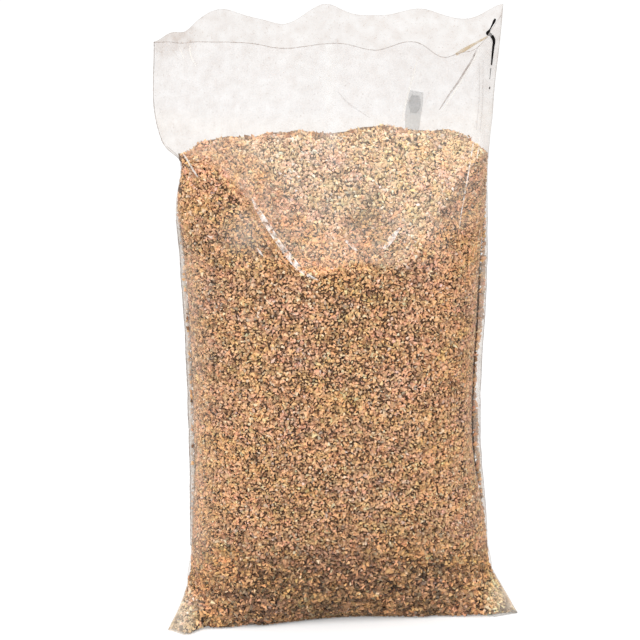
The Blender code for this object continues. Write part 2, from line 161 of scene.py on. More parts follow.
def half_outline(half_width, depth, fullness, fin_left, fin_right):
    """The back half of a level's outline, from the left crease to the right one."""
    power = 2.0 + SQUARENESS * fullness
    root = 1.0 + BLUNTNESS * fullness
    angle = np.linspace(0.0, np.pi, OUTLINE_POINTS)
    left, right = half_width + fin_left, half_width + fin_right
    x = 0.5 * (right - left) - 0.5 * (left + right) * np.cos(angle)
    inside = np.clip(1.0 - np.abs(x / half_width) ** power, 0.0, None)
    y = 0.5 * depth * inside ** (1.0 / root)
    for fin, reach in ((fin_left, left + x), (fin_right, right - x)):
        if fin > 0.0:
            y = np.hypot(y, FIN_GAP * np.clip(reach / fin, 0.0, 1.0) * (reach < 2.0 * fin))
    return x, y


def off_creases(share):
    return 1.0 - (2.0 * share - 1.0) ** 4


def emptiness(z):
    return smoothstep(CHEST_HEIGHT, RIM_HEIGHT, z)


def section(z):
    """A level's outline, as wide as the lay-flat film allows at its depth."""
    depth, fullness = through(STATIONS, DEPTHS, z), through(STATIONS, FULLNESS, z)
    in_waves = (np.pi * DRAPE * float(emptiness(z)) * DRAPE_WAVES / LAY_FLAT) ** 2
    film_length = LAY_FLAT * (1.0 - in_waves)
    finned = float(stretch(FOOT_HEIGHT, BELLY_HEIGHT, CHEST_HEIGHT, SHOULDER_HEIGHT, z))
    narrow, wide = 0.1 * LAY_FLAT, 0.5 * LAY_FLAT
    for _ in range(WIDTH_TRIES):
        half_width = 0.5 * (narrow + wide)
        x, y = half_outline(half_width, depth, fullness, FIN_LEFT * finned, FIN_RIGHT * finned)
        if np.hypot(np.diff(x), np.diff(y)).sum() > film_length:
            wide = half_width
        else:
            narrow = half_width
    along = np.concatenate(([0.0], np.cumsum(np.hypot(np.diff(x), np.diff(y)))))
    marks = np.linspace(0.0, along[-1], ACROSS + 1)
    return np.interp(marks, along, x) - through(STATIONS, LEANS, z), np.interp(marks, along, y)


table_z = np.arange(TABLE_LOW, RIM_HEIGHT + TABLE_STEP, TABLE_STEP)
section_x, section_y = (np.array(t) for t in zip(*(section(z) for z in table_z)))


def look_up(grid, height):
    """grid at each column's own height."""
    row = (height - TABLE_LOW) / TABLE_STEP
    k = np.clip(row.astype(int), 0, len(table_z) - 2)
    t = row - k
    return grid[k, column] * (1 - t) + grid[k + 1, column] * t


def rim_rise():
    rise = CORNER_TIP * bump(1.0, CORNER_WIDTH, place) - CORNER_SLUMP * bump(0.0, CORNER_WIDTH, place)
    behind = sum(height * bump(centre, width, place) for centre, width, height in BACK_HUMPS)
    before = FRONT_LOWER * smoothstep(0.0, 2.0 * CORNER_WIDTH, np.minimum(place, 1.0 - place))
    before = before + sum(depth * bump(centre, width, place) for centre, width, depth in FRONT_DIPS)
    return rise + np.where(back, behind, -before)


def wall(height):
    """One level of the wall, each column at its own height."""
    x, y = look_up(section_x, height), look_up(section_y, height)
    side = np.where(back, 1.0, -1.0)
    lift = smoothstep(NECK_HEIGHT, RIM_HEIGHT, height)
    wave = np.sin(2.0 * np.pi * DRAPE_WAVES * place + np.where(back, BACK_PHASE, FRONT_PHASE))
    y = side * y + DRAPE * emptiness(height) * off_creases(place) * wave
    sag = SAG * bump(SAG_PLACE, SAG_SPREAD, place) * bump(0.0, SAG_HEIGHT, height) * off_creases(place)
    y -= np.where(back, 0.0, sag)
    left_edge = 1.0 - smoothstep(0.0, EDGE_REACH, place)
    right_edge = smoothstep(1.0 - EDGE_REACH, 1.0, place)
    fold_width = np.where(height < FOLD_HEIGHT, FOLD_WIDTH_BELOW, FOLD_WIDTH)
    x = x + FOLD_DEPTH * left_edge * bump(FOLD_HEIGHT, fold_width, height)
    x += CORNER_FLARE * bump(1.0, CORNER_WIDTH, place) * lift
    x += EAR_FLARE * (right_edge - left_edge) * (1.0 - smoothstep(EAR_DROP, 2.0 * EAR_DROP, height))
    return np.stack((x, y, height + lift * rim_rise()), axis=1)


def from_foot(height):
    """The heights of a level's columns, which start higher up away from the creases."""
    start = EAR_DROP + (EDGE_HEIGHT - EAR_DROP) * off_creases(place)
    top = SHOULDER_HEIGHT
    return np.where(height >= top, height, top - (top - height) * (top - start) / (top - EAR_DROP))


# The film's foot, and the whole film

def weld_line():
    ear = EAR_SPAN / LAY_FLAT
    stops = (0.0, ear, 0.5, 1.0 - ear, 1.0)
    setbacks = (WELD_TIP_LEFT, WELD_ROOT, WELD_MIDDLE, WELD_ROOT, WELD_TIP_RIGHT)
    return np.stack((
        (place - 0.5) * LAY_FLAT - WELD_LEFT,
        [through(stops, setbacks, p) - 0.5 * DEPTHS[0] for p in place],
        np.full(AROUND, 0.5 * FILM)), axis=1)


def turned_under(foot, weld):
    """Rows from the wall's foot to the weld, turned under in the middle and straight at the ears."""
    ear = EAR_SPAN / LAY_FLAT
    from_tip = np.minimum(place, 1.0 - place)
    slope = 1.0 - smoothstep(EAR_STRAIGHT * ear, EAR_FADE * ear, from_tip)
    slope = np.where(back & (from_tip > 0.0), 0.0, slope)[:, None]
    base = 0.5 * FILM
    flat = weld[:, :2] - foot[:, :2]
    distance = np.maximum(np.hypot(flat[:, 0], flat[:, 1]), TINY)
    radius = np.minimum(EDGE_RADIUS, MOST_TURNED * distance)
    under = []
    for k in range(TURN_ROWS):
        share = k / TURN_ROWS
        if share <= BASE_SHARE:
            angle = 0.5 * np.pi * share / BASE_SHARE
            travel = radius * (1.0 - math.cos(angle)) / distance
            height = base + (foot[:, 2] - base) * (1.0 - math.sin(angle))
        else:
            rest = (share - BASE_SHARE) / (1.0 - BASE_SHARE)
            travel = (radius + (distance - radius) * rest) / distance
            height = np.full(AROUND, base)
        rounded = np.column_stack((foot[:, :2] + flat * travel[:, None], height))
        straight = foot + (weld - foot) * share
        under.append((1.0 - slope) * rounded + slope * straight)
    return under


def foot_bulge(x, z):
    """How far the film's front stands forward of the plain form, near the floor."""
    forward = sum(depth * bump(centre, width, x) for centre, width, depth in FOOT_BULGES)
    return forward * (1.0 - smoothstep(0.0, BULGE_HEIGHT, z))


def plain_film():
    """The film without wrinkles, row by row from the weld to the rim, and each point's level."""
    body = np.linspace(EAR_DROP, SHOULDER_HEIGHT, WALL_ROWS)[:-1]
    heights = [from_foot(z) for z in (*body, *np.linspace(SHOULDER_HEIGHT, RIM_HEIGHT, MOUTH_ROWS))]
    walls = [wall(h) for h in heights]
    weld = weld_line()
    grid = np.array([weld] + turned_under(walls[0], weld)[:0:-1] + walls)
    # The CAD centres its rows over the floor's origin, and the fine ones follow
    cad_low, cad_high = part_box("film_bag")
    for axis in (0, 1):
        along = grid[:, :, axis]
        along += 0.5 * (cad_low[axis] + cad_high[axis]) - 0.5 * (along.min() + along.max())
    from_weld = np.minimum(np.arange(len(grid)) / TURN_ROWS, 1.0)[:, None]
    share = np.where(back[None, :], (1.0 - from_weld) ** 2, 1.0)
    grid[:, :, 1] -= foot_bulge(grid[:, :, 0], grid[:, :, 2]) * share
    return grid, np.array([np.zeros(AROUND)] * TURN_ROWS + heights)


def grid_normals(grid):
    sideways = np.roll(grid, -1, axis=1) - np.roll(grid, 1, axis=1)
    up = np.gradient(grid, axis=0)
    return unit(np.cross(sideways, up))


def wrinkled(grid, level):
    """The film with wrinkles where it hangs free, and ripples along its creases."""
    z = grid[:, :, 2]
    loose = emptiness(level) * off_creases(place)[None, :]
    wrinkles = sum(depth * value_noise(around * cells, z / height, cells, seed)
                   for depth, cells, height, seed in WRINKLES)
    near_crease = np.exp(-np.minimum(place, 1.0 - place) / RIPPLE_REACH)[None, :]
    cells = value_noise(around * RIPPLE_CELLS, z / RIPPLE_HEIGHT, RIPPLE_CELLS, RIPPLE_SEED)
    ripple = RIPPLE * near_crease * stretch(*RIPPLED, z) * (0.5 + 0.5 * cells)
    moved = grid + grid_normals(grid) * (loose * wrinkles + ripple)[:, :, None]
    moved[:, :, 2] = np.maximum(moved[:, :, 2], 0.5 * FILM)
    return moved


def grid_triangles(count_rows):
    i = np.arange(count_rows - 1)[:, None]
    j = np.arange(AROUND)[None, :]
    a, b = i * AROUND + j, i * AROUND + (j + 1) % AROUND
    c, d = b + AROUND, a + AROUND
    first = np.stack((a, b, c), axis=-1).reshape(-1, 3)
    second = np.stack((a, c, d), axis=-1).reshape(-1, 3)
    return np.concatenate((first, second))


plain, plain_level = plain_film()
film = wrinkled(plain, plain_level)                     # rows, columns, xyz
points = film.reshape(-1, 3)
faces = grid_triangles(len(film))


# Meshes and their materials

def new_mesh(name, points, faces, smooth, materials, corners=3):
    mesh = bpy.data.meshes.new(name)
    points = np.asarray(points, np.float32)
    faces = np.asarray(faces, np.int32)
    mesh.vertices.add(len(points))
    mesh.vertices.foreach_set("co", points.ravel())
    mesh.loops.add(faces.size)
    mesh.loops.foreach_set("vertex_index", faces.ravel())
    mesh.polygons.add(len(faces))
    mesh.polygons.foreach_set("loop_start", np.arange(0, faces.size, corners, dtype=np.int32))
    mesh.polygons.foreach_set("use_smooth", np.full(len(faces), smooth))
    mesh.update(calc_edges=True)
    for material in materials:
        mesh.materials.append(material)
    made = bpy.data.objects.new(name, mesh)
    bpy.context.collection.objects.link(made)
    return made


def search_tree(points, faces):
    return BVHTree.FromPolygons([tuple(p) for p in points], [tuple(f) for f in faces.tolist()])


def paint(piece, name, values):
    """A colour for each point of a piece, read by its material."""
    layer = piece.data.attributes.new(name, "FLOAT_COLOR", "POINT")
    layer.data.foreach_set("color", np.asarray(values, np.float32).ravel())


def nodes_of(name):
    material = bpy.data.materials.new(name)
    material.use_nodes = True
    tree = material.node_tree
    tree.nodes.clear()
    out = tree.nodes.new("ShaderNodeOutputMaterial")
    return material, tree, out


def new_node(tree, kind, **values):
    """A node with some of its sockets set; a socket's name has _ for each space."""
    node = tree.nodes.new(kind)
    for socket, value in values.items():
        node.inputs[socket.replace("_", " ")].default_value = value
    return node


def grey(tone):
    return (tone, tone, tone, 1.0)


def math_node(tree, operation, a, b):
    node = tree.nodes.new("ShaderNodeMath")
    node.operation = operation
    for k, value in enumerate((a, b)):
        if isinstance(value, (int, float)):
            node.inputs[k].default_value = value
        else:
            tree.links.new(value, node.inputs[k])
    return node.outputs[0]


def noise_node(tree, scale, detail, shape=(1.0, 1.0, 1.0)):
    coordinates = tree.nodes.new("ShaderNodeTexCoord")
    mapping = new_node(tree, "ShaderNodeMapping", Scale=shape)
    texture = new_node(tree, "ShaderNodeTexNoise", Scale=scale, Detail=detail)
    tree.links.new(coordinates.outputs["Object"], mapping.inputs["Vector"])
    tree.links.new(mapping.outputs["Vector"], texture.inputs["Vector"])
    return texture.outputs["Fac"]


def ramp_node(tree, fac, stops):
    ramp = tree.nodes.new("ShaderNodeValToRGB")
    while len(ramp.color_ramp.elements) < len(stops):
        ramp.color_ramp.elements.new(0.5)
    for element, (position, color) in zip(ramp.color_ramp.elements, stops):
        element.position = position
        element.color = (*color, 1.0)
    tree.links.new(fac, ramp.inputs["Fac"])
    return ramp.outputs["Color"]


def bump_node(tree, height, strength, distance):
    bumps = new_node(tree, "ShaderNodeBump", Strength=strength, Distance=distance)
    tree.links.new(height, bumps.inputs["Height"])
    return bumps.outputs["Normal"]


def painted(tree, name):
    """The colours that paint() gave a piece."""
    node = tree.nodes.new("ShaderNodeAttribute")
    node.attribute_name = name
    return node.outputs


def blend(tree, amount, first, second):
    """The first shader where amount is 0, and the second where it is 1."""
    node = tree.nodes.new("ShaderNodeMixShader")
    for socket, source in zip(node.inputs, (amount, first, second)):
        tree.links.new(source, socket)
    return node.outputs[0]


# The film: clear at a right angle, greyer and glossier at a glancing one, and veiled with dust and painted
# glare

FILM_TONES = (
    (0.0, (0.985, 0.980, 0.975)), (0.60, (0.97, 0.96, 0.95)), (0.93, (0.82, 0.80, 0.78)),
    (1.0, (0.52, 0.49, 0.47)))
CREPE, CREPE_SHAPE, CREPE_DETAIL = 110.0, (1.0, 1.0, 0.6), 3.0      # the film's fine unevenness
SHINE, SHINE_GLANCING, SHINE_POWER = 0.012, 0.20, 4.0
CLOUDS, CLOUD_DETAIL, CLOUD_GAIN, LEAST_CLOUD = 60.0, 4.0, 1.8, 0.1
FLECKS, FLECK_DETAIL, FLECK_FROM, FLECK_GAIN = 330.0, 2.0, 0.60, 6.0


def film_material():
    material, tree, out = nodes_of("clear_film")
    facing = new_node(tree, "ShaderNodeLayerWeight", Blend=0.35).outputs["Facing"]
    clear = tree.nodes.new("ShaderNodeBsdfTransparent")
    tree.links.new(ramp_node(tree, facing, FILM_TONES), clear.inputs["Color"])
    gloss = new_node(tree, "ShaderNodeBsdfGlossy", Color=grey(0.64), Roughness=0.16)
    crepe = noise_node(tree, CREPE, CREPE_DETAIL, CREPE_SHAPE)
    tree.links.new(bump_node(tree, crepe, strength=0.35, distance=0.002), gloss.inputs["Normal"])
    glance = math_node(tree, "POWER", facing, SHINE_POWER)
    shine = math_node(tree, "ADD", math_node(tree, "MULTIPLY", glance, SHINE_GLANCING), SHINE)
    shiny = blend(tree, shine, clear.outputs[0], gloss.outputs[0])
    # A haze with painted glare, in the colours and amounts painted on the film
    haze_and_glare = painted(tree, "haze_and_glare")
    haze = tree.nodes.new("ShaderNodeBsdfDiffuse")
    tree.links.new(haze_and_glare["Color"], haze.inputs["Color"])
    cloud = math_node(tree, "MULTIPLY", noise_node(tree, CLOUDS, CLOUD_DETAIL), CLOUD_GAIN)
    fleck = math_node(tree, "SUBTRACT", noise_node(tree, FLECKS, FLECK_DETAIL), FLECK_FROM)
    fleck = math_node(tree, "MULTIPLY", math_node(tree, "MAXIMUM", fleck, 0.0), FLECK_GAIN)
    cloud = math_node(tree, "MAXIMUM", math_node(tree, "ADD", cloud, fleck), LEAST_CLOUD)
    amount = math_node(tree, "MULTIPLY", haze_and_glare["Alpha"], cloud)
    tree.links.new(blend(tree, amount, shiny, haze.outputs[0]), out.inputs["Surface"])
    return material


sack = new_mesh("sack_film", points, faces, True, [film_material()])

# Folds and marks of the film, where the photograph has them

is_back = back[faces[:, 0] % AROUND] & back[faces[:, 1] % AROUND]
sides = {"front": search_tree(points, faces[~is_back]), "back": search_tree(points, faces[is_back])}
look = Vector((-math.sin(TURN) * math.cos(RAISE), math.cos(TURN) * math.cos(RAISE), -math.sin(RAISE)))
right = Vector((math.cos(TURN), math.sin(TURN), 0.0))
upward = right.cross(look)
eye = TARGET - AWAY * look


def on_film(x, y, side):
    """The point of the film behind a pixel, on its front or its back, and the way out there."""
    ray = (look + right * ((x - CENTRE[0]) / FOCAL) + upward * ((CENTRE[1] - y) / FOCAL)).normalized()
    hit, normal, _, _ = sides[side].ray_cast(eye, ray)
    if hit is None:
        hit, normal, _, _ = sides[side].find_nearest(eye + ray * (TARGET - eye).dot(look))
    if normal.dot(ray) > 0.0:
        normal = -normal
    return hit, normal


LINE_STEPS = 8


def smooth_line(marks):
    """Points on a smooth line through the marks; each mark is any row of numbers."""
    marks = np.asarray(marks, float)
    padded = np.concatenate((2 * marks[:1] - marks[1:2], marks, 2 * marks[-1:] - marks[-2:-1]))
    found = []
    for k in range(len(marks) - 1):
        p0, p1, p2, p3 = padded[k:k + 4]
        for t in np.linspace(0.0, 1.0, LINE_STEPS, endpoint=False):
            found.append(0.5 * (2 * p1 + (p2 - p0) * t + (2 * p0 - 5 * p1 + 4 * p2 - p3) * t * t
                                + (3 * p1 - p0 - 3 * p2 + p3) * t ** 3))
    found.append(marks[-1])
    return np.array(found)


folds = {"points": [], "faces": [], "slots": []}
THINNEST = 0.05                 # pixels


def lay_strip(pairs, slots):
    """A strip of faces between pairs of points, with a material for each step along it."""
    first = len(folds["points"])
    for k, pair in enumerate(pairs):
        folds["points"] += [tuple(pair[0]), tuple(pair[1])]
        if k:
            a = first + 2 * k
            folds["faces"] += [(a - 2, a - 1, a + 1), (a - 2, a + 1, a)]
            folds["slots"] += [slots[k], slots[k]]


def lay_ribbon(widths, spots, slot, lift):
    """A ribbon over spots of the film, each a point and the way out there; widths in pixels."""
    pairs = []
    for k, (hit, normal) in enumerate(spots):
        ahead = spots[min(k + 1, len(spots) - 1)][0] - spots[max(k - 1, 0)][0]
        beside = normal.cross(ahead).normalized() * (0.5 * max(widths[k], THINNEST) * AWAY / FOCAL)
        pairs.append((hit + normal * lift - beside, hit + normal * lift + beside))
    lay_strip(pairs, [slot] * len(pairs))


# Kinds of mark: painted highlights on folds, lines of painted shade along creases and edges, a grey patch, a
# doubled fold with a painted reflection of the chips, black marks, patches of painted glare, and faint lines
# of painted shade
HIGHLIGHT, SHADED_LINE, GREY, STRAW_REFLECTION, BLACK, GLARE_PATCH, FAINT_SHADED_LINE = range(7)
LYING, OVER, ABOVE = 0.0006, 0.0010, 0.0015     # how far a mark lies off the film

# Each point of a mark is x, y and width, in pixels of the photograph
CORNER_FOLD = ((477, 48, 1.4), (471, 61, 2.0), (458, 82, 2.2), (448, 96, 1.6), (439, 110, 0.8))
CORNER_FOLD_LIT = ((480, 46, 0.8), (473, 61, 1.4), (451, 97, 1.2), (440, 114, 0.5))
STREAK_OVER_PATCH = ((417, 60, 0.8), (413, 76, 1.8), (409, 90, 2.0), (405, 106, 1.8), (402, 122, 1.0))
MIDDLE_CREASE = ((338, 92, 1.0), (347, 102, 1.8), (358, 110, 1.5), (370, 118, 0.5))
LEFT_STREAK = ((190, 45, 1.2), (191, 55, 1.6), (196, 66, 0.8))
LEFT_STREAK_SHORT = ((180, 48, 0.9), (184, 58, 1.0))
GUSSET_LINE_OUTER = ((483, 60, 0.8), (482.5, 98, 1.6), (480, 132, 1.2))
GUSSET_LINE_INNER = ((479, 62, 0.8), (479, 98, 1.2), (476, 130, 1.0))
GUSSET_GLARE = ((474, 136, 1.2), (471, 156, 1.6), (467, 180, 1.4), (462, 208, 1.2), (459, 228, 0.6))
GUSSET_GLARE_SHORT = ((479.5, 136, 1.4), (478, 150, 1.6), (476, 164, 0.8))
SHOULDER_FOLD = ((167, 146, 0.8), (175, 153, 1.4), (182, 160, 2.0), (189, 168, 2.2), (194, 176, 1.4))
SHOULDER_GLARE = ((182, 152, 0.8), (187, 159, 2.6), (193, 169, 3.2), (198, 177, 1.6))
SHOULDER_GROOVE = ((186, 155, 0.4), (190, 162, 0.9), (195, 171, 0.6))
HEAP_GLARE_LEFT = (
    (252, 198, 1.0), (256, 207, 3.5), (263, 218, 5.0), (270, 229, 5.5), (279, 243, 4.5),
    (288, 255, 6.0), (298, 267, 5.0), (306, 274, 3.5), (318, 280, 1.0))
HEAP_SPARK = ((257, 248, 1.0), (260, 252, 2.2), (263, 256, 0.8))
HEAP_GLARE_RIGHT = ((384, 249, 3.0), (391, 239, 6.0), (400, 228, 2.0))
HEAP_GLARE_MIDDLE = ((345, 240, 2.0), (352, 246, 3.5), (357, 251, 1.5))
# A doubled fold at the rim, straw-coloured from a painted reflection of the chips
STRAW_FOLD = ((456, 54.5, 2.6), (463, 50.5, 3.6), (470, 46.5, 3.0), (478, 42, 2.2), (488, 36.5, 1.8))
GREY_PATCH = ((416.5, 91, 14), (415, 100, 16), (413.5, 112, 16), (412.5, 122, 15), (412, 131, 14))
GREY_PATCH_CORE = ((415.5, 95, 7), (415, 100, 11.5), (414.5, 106, 12), (413.5, 113, 6))
BLACK_HOOK = (
    (495.6, 18.5, 1.6), (494.5, 21, 2.6), (492.5, 25, 1.6), (490.4, 29, 1.3), (489.2, 31, 2.5),
    (488.2, 33.2, 4.2), (490.5, 34.5, 3.6), (492.5, 36.5, 3.0))
BLACK_STEM = ((491.5, 35.8, 3.6), (493.4, 40.5, 3.6), (492.6, 48, 3.0), (491.6, 57.4, 2.4), (491, 65, 1.6))
BLACK_TAIL = ((490.3, 68, 1.0), (489.8, 73, 0.7), (489.2, 79, 0.6))
BLACK_DOT = ((489.2, 86.5, 1.2), (489, 89, 1.4))
EAR_FLAP = ((508, 613.0, 1.4), (512.5, 611.2, 2.4), (516, 611.8, 2.6), (518, 614.6, 1.4))
FRONT_MARKS = (
    (CORNER_FOLD, SHADED_LINE, LYING), (CORNER_FOLD_LIT, HIGHLIGHT, LYING), (STREAK_OVER_PATCH, HIGHLIGHT, LYING),
    (MIDDLE_CREASE, FAINT_SHADED_LINE, LYING), (LEFT_STREAK, HIGHLIGHT, LYING), (LEFT_STREAK_SHORT, HIGHLIGHT, LYING),
    (GUSSET_LINE_OUTER, FAINT_SHADED_LINE, LYING), (GUSSET_LINE_INNER, FAINT_SHADED_LINE, LYING), (GUSSET_GLARE, GLARE_PATCH, LYING),
    (GUSSET_GLARE_SHORT, GLARE_PATCH, LYING), (SHOULDER_FOLD, SHADED_LINE, LYING), (SHOULDER_GLARE, HIGHLIGHT, LYING),
    (SHOULDER_GROOVE, SHADED_LINE, OVER), (HEAP_GLARE_LEFT, GLARE_PATCH, LYING), (HEAP_SPARK, HIGHLIGHT, LYING),
    (HEAP_GLARE_RIGHT, GLARE_PATCH, LYING), (HEAP_GLARE_MIDDLE, GLARE_PATCH, LYING), (BLACK_STEM, BLACK, ABOVE),
    (BLACK_TAIL, BLACK, ABOVE), (BLACK_DOT, BLACK, ABOVE), (EAR_FLAP, GREY, LYING))
BACK_MARKS = (
    (STRAW_FOLD, STRAW_REFLECTION, OVER), (GREY_PATCH, GREY, LYING), (GREY_PATCH_CORE, GREY, OVER),
    (BLACK_HOOK, BLACK, ABOVE))
for side, side_marks in (("front", FRONT_MARKS), ("back", BACK_MARKS)):
    for marks, slot, lift in side_marks:
        line = smooth_line(marks)
        lay_ribbon(line[:, 2], [on_film(x, y, side) for x, y, _ in line], slot, lift)

# Lines of painted shade along the creases: the crease's column, lowest and highest point, width in pixels and
# kind
CREASE_LINES = ((0, 0.775, 0.998, 0.9, SHADED_LINE), (0, 0.12, 0.70, 1.1, SHADED_LINE), (ACROSS, 0.12, 0.99, 0.8, FAINT_SHADED_LINE))
TO_FRONT = Vector((0.0, -1.0, 0.0))
for crease, low, high, width, slot in CREASE_LINES:
    rows = np.flatnonzero((film[:, crease, 2] >= low) & (film[:, crease, 2] <= high))
    lay_ribbon([width] * len(rows), [(Vector(film[r, crease]), TO_FRONT) for r in rows], slot, LYING)

FOOT_LINE_WIDTH, FOOT_LINE_HEIGHT, FOOT_LINE_ENDS = 0.9, 0.0035, 4
FORWARD_DOWN = Vector((0.0, -0.9, -0.4))


def foot_line():
    """The shaded line where the front of the film meets the floor."""
    spots = []
    for k in range(FOOT_LINE_ENDS, ACROSS - FOOT_LINE_ENDS + 1):
        row = int(np.flatnonzero(film[:2 * TURN_ROWS, k, 2] < FOOT_LINE_HEIGHT)[-1])
        spots.append((Vector(film[row, k]), FORWARD_DOWN))
    lay_ribbon([FOOT_LINE_WIDTH] * len(spots), spots, FAINT_SHADED_LINE, LYING)


RIM_OUT, RIM_DROP = 0.0007, 0.0013


def rim_line():
    """The cut edge of the mouth, which catches the light as a thin dark line."""
    ways_out = grid_normals(film)[-1]
    top = [film[-1][k % AROUND] + ways_out[k % AROUND] * RIM_OUT for k in range(AROUND + 1)]
    slots = [FAINT_SHADED_LINE if k > ACROSS else SHADED_LINE for k in range(AROUND + 1)]
    lay_strip([(p, p + np.array((0.0, 0.0, -RIM_DROP))) for p in top], slots)


foot_line()
rim_line()

# Each fold's colour, share of cover, roughness, contrast of its patches and gloss, by slot
FOLD_GRAIN, FOLD_DETAIL = 150.0, 3.0
# The first and the sixth looks are painted highlights and glare, the second and the last painted shade, and
# the fourth a doubled fold with a painted reflection of the chips
FOLD_LOOKS = (
    ("fold_highlight", (0.78, 0.74, 0.69), 0.62, 0.3, 2.5, 0.5),
    ("fold_shaded_line", (0.24, 0.18, 0.15), 0.50, 0.4, 3.0, 0.5),
    ("fold_grey", (0.24, 0.25, 0.25), 0.42, 0.4, 0.4, 0.5),
    ("fold_straw_reflection", (0.45, 0.34, 0.20), 0.74, 0.4, 2.0, 0.5),
    ("fold_black", (0.006, 0.005, 0.005), 1.0, 0.5, 0.0, 0.05),
    ("fold_glare_patch", (0.86, 0.79, 0.74), 0.46, 0.3, 7.0, 0.5),
    ("fold_faint_shaded_line", (0.34, 0.30, 0.29), 0.20, 0.4, 3.0, 0.5))


def fold_material(name, color, cover, roughness, contrast, gloss):
    material, tree, out = nodes_of(name)
    shader = new_node(tree, "ShaderNodeBsdfPrincipled", Base_Color=(*color, 1.0), Roughness=roughness,
                      Specular_IOR_Level=gloss)
    grain = math_node(tree, "SUBTRACT", noise_node(tree, FOLD_GRAIN, FOLD_DETAIL), 0.5)
    shade = math_node(tree, "MULTIPLY", grain, contrast)
    amount = math_node(tree, "MULTIPLY", math_node(tree, "ADD", shade, 1.0), cover)
    amount = math_node(tree, "MAXIMUM", math_node(tree, "MINIMUM", amount, 1.0), 0.0)
    tree.links.new(amount, shader.inputs["Alpha"])
    tree.links.new(shader.outputs[0], out.inputs["Surface"])
    return material


def fold_piece():
    """All folds and marks as one piece, kept over the floor and within the film's width."""
    spread = 0.0005
    x = film[:, :, 0]
    kept = np.array(folds["points"])
    kept[:, 2] = np.maximum(kept[:, 2], FILM)
    kept[:, 0] = np.clip(kept[:, 0], x.min() - spread, x.max() + spread)
    piece = new_mesh("film_folds", kept, folds["faces"], True, [fold_material(*f) for f in FOLD_LOOKS])
    piece.data.polygons.foreach_set("material_index", np.array(folds["slots"], np.int32))
    return piece


lines = fold_piece()


# The chips' places

VOXEL = 0.0042                  # at most one chip in each cell this wide
TRIES = 1_000_000
CELLS = 4096                    # more cells than the sack has along any side
HEAP_FACES_UP, HEAP_FROM = 0.45, 0.5    # the heap is what faces up, above this height
BIN, NEAR_CREASE, MOST_GAP = 0.01, 0.040, 0.9
# A crease's side and column, the chips' margin there, and how much wider it is, at what height and spread
CREASES = ((-1.0, 0, 0.0035, 0.012, 0.815, 0.022), (1.0, ACROSS, 0.0040, 0.007, 0.41, 0.07))
CREASES_FROM = 0.09
EAR_ROOT, EAR_MARGIN, EAR_POWER, EAR_FLAT = 0.235, 0.002, 0.8, 0.6
FRONT_FACING = 0.35             # what faces back more than this doesn't follow the foot's bulges
FOOT_TOP = 0.06
UNDER_FILM = 0.0005


def solid_faces(node):
    """A CAD node's points and triangles, with each triangle's area and the way it faces."""
    dg = bpy.context.evaluated_depsgraph_get()
    source = node.evaluated_get(dg).to_mesh()
    source.calc_loop_triangles()
    corner = np.empty(len(source.vertices) * 3)
    source.vertices.foreach_get("co", corner)
    world = np.array(node.matrix_world)
    corner = corner.reshape(-1, 3) @ world[:3, :3].T + world[:3, 3]
    tri = np.empty(len(source.loop_triangles) * 3, np.int32)
    source.loop_triangles.foreach_get("vertices", tri)
    tri = tri.reshape(-1, 3)
    node.evaluated_get(dg).to_mesh_clear()
    a, b, c = corner[tri[:, 0]], corner[tri[:, 1]], corner[tri[:, 2]]
    cross = np.cross(b - a, c - a)
    return corner, tri, 0.5 * np.linalg.norm(cross, axis=1), unit(cross)


def scattered():
    """Places for chips on the fill's surface, and the way out at each."""
    a, b, c = corner[tri[:, 0]], corner[tri[:, 1]], corner[tri[:, 2]]
    picked = rng.choice(len(tri), TRIES, p=area / area.sum())
    u, v = rng.random(TRIES), rng.random(TRIES)
    flip = u + v > 1.0
    u[flip], v[flip] = 1.0 - u[flip], 1.0 - v[flip]
    found = a[picked] + (b - a)[picked] * u[:, None] + (c - a)[picked] * v[:, None]
    cell = np.floor(found / VOXEL).astype(np.int64)
    key = (cell[:, 0] * CELLS + cell[:, 1]) * CELLS + cell[:, 2]
    _, keep = np.unique(key, return_index=True)
    return found[keep], outward[picked[keep]]


def into_creases():
    """The CAD's solid stops short of the creases, while loose chips work their way in."""
    moved_in = np.zeros(len(spots), bool)
    for side, crease, plain_margin, wider, height, spread in CREASES:
        line = film[TURN_ROWS:, crease]
        edge_x = side * np.interp(spots[:, 2], line[:, 2], line[:, 0])
        away = edge_x - side * spots[:, 0]
        bins = (spots[:, 2] / BIN).astype(int)
        nearest = np.full(bins.max() + 1, NEAR_CREASE)
        np.minimum.at(nearest, bins, away)
        middles = (np.arange(len(nearest)) + 0.5) * BIN
        least = np.interp(spots[:, 2], middles, np.minimum(nearest, MOST_GAP * NEAR_CREASE))
        margin = plain_margin + wider * bump(height, spread, spots[:, 2])
        moved = margin + (away - least) * (NEAR_CREASE - margin) / (NEAR_CREASE - least)
        mine = (away < NEAR_CREASE) & (~on_heap | (moved > away)) & (spots[:, 2] > CREASES_FROM)
        spots[mine, 0] = side * (edge_x - moved)[mine]
        moved_in |= mine
    return moved_in


def into_ears():
    """They fill the foot's ears too."""
    low_here = (spots[:, 2] < EAR_DROP) & ~on_heap
    for side, tip in ((-1.0, film[0, 0, 0]), (1.0, film[0, ACROSS, 0])):
        beyond = side * spots[:, 0] - EAR_ROOT
        mine = low_here & (beyond > 0.0)
        reach_now, reach_then = beyond[mine].max(), side * tip - EAR_MARGIN - EAR_ROOT
        flatter = 1.0 - smoothstep(EAR_FLAT * EAR_DROP, EAR_DROP, spots[:, 2])
        stretched = reach_then * (np.clip(beyond, 0.0, None) / reach_now) ** EAR_POWER
        spots[mine, 0] += (side * (stretched - beyond) * flatter)[mine]


def press_on_film(chosen):
    for k in np.flatnonzero(chosen):
        hit, normal, _, _ = film_tree.find_nearest(Vector(spots[k]))
        spots[k] = hit - normal * UNDER_FILM
        way[k] = normal


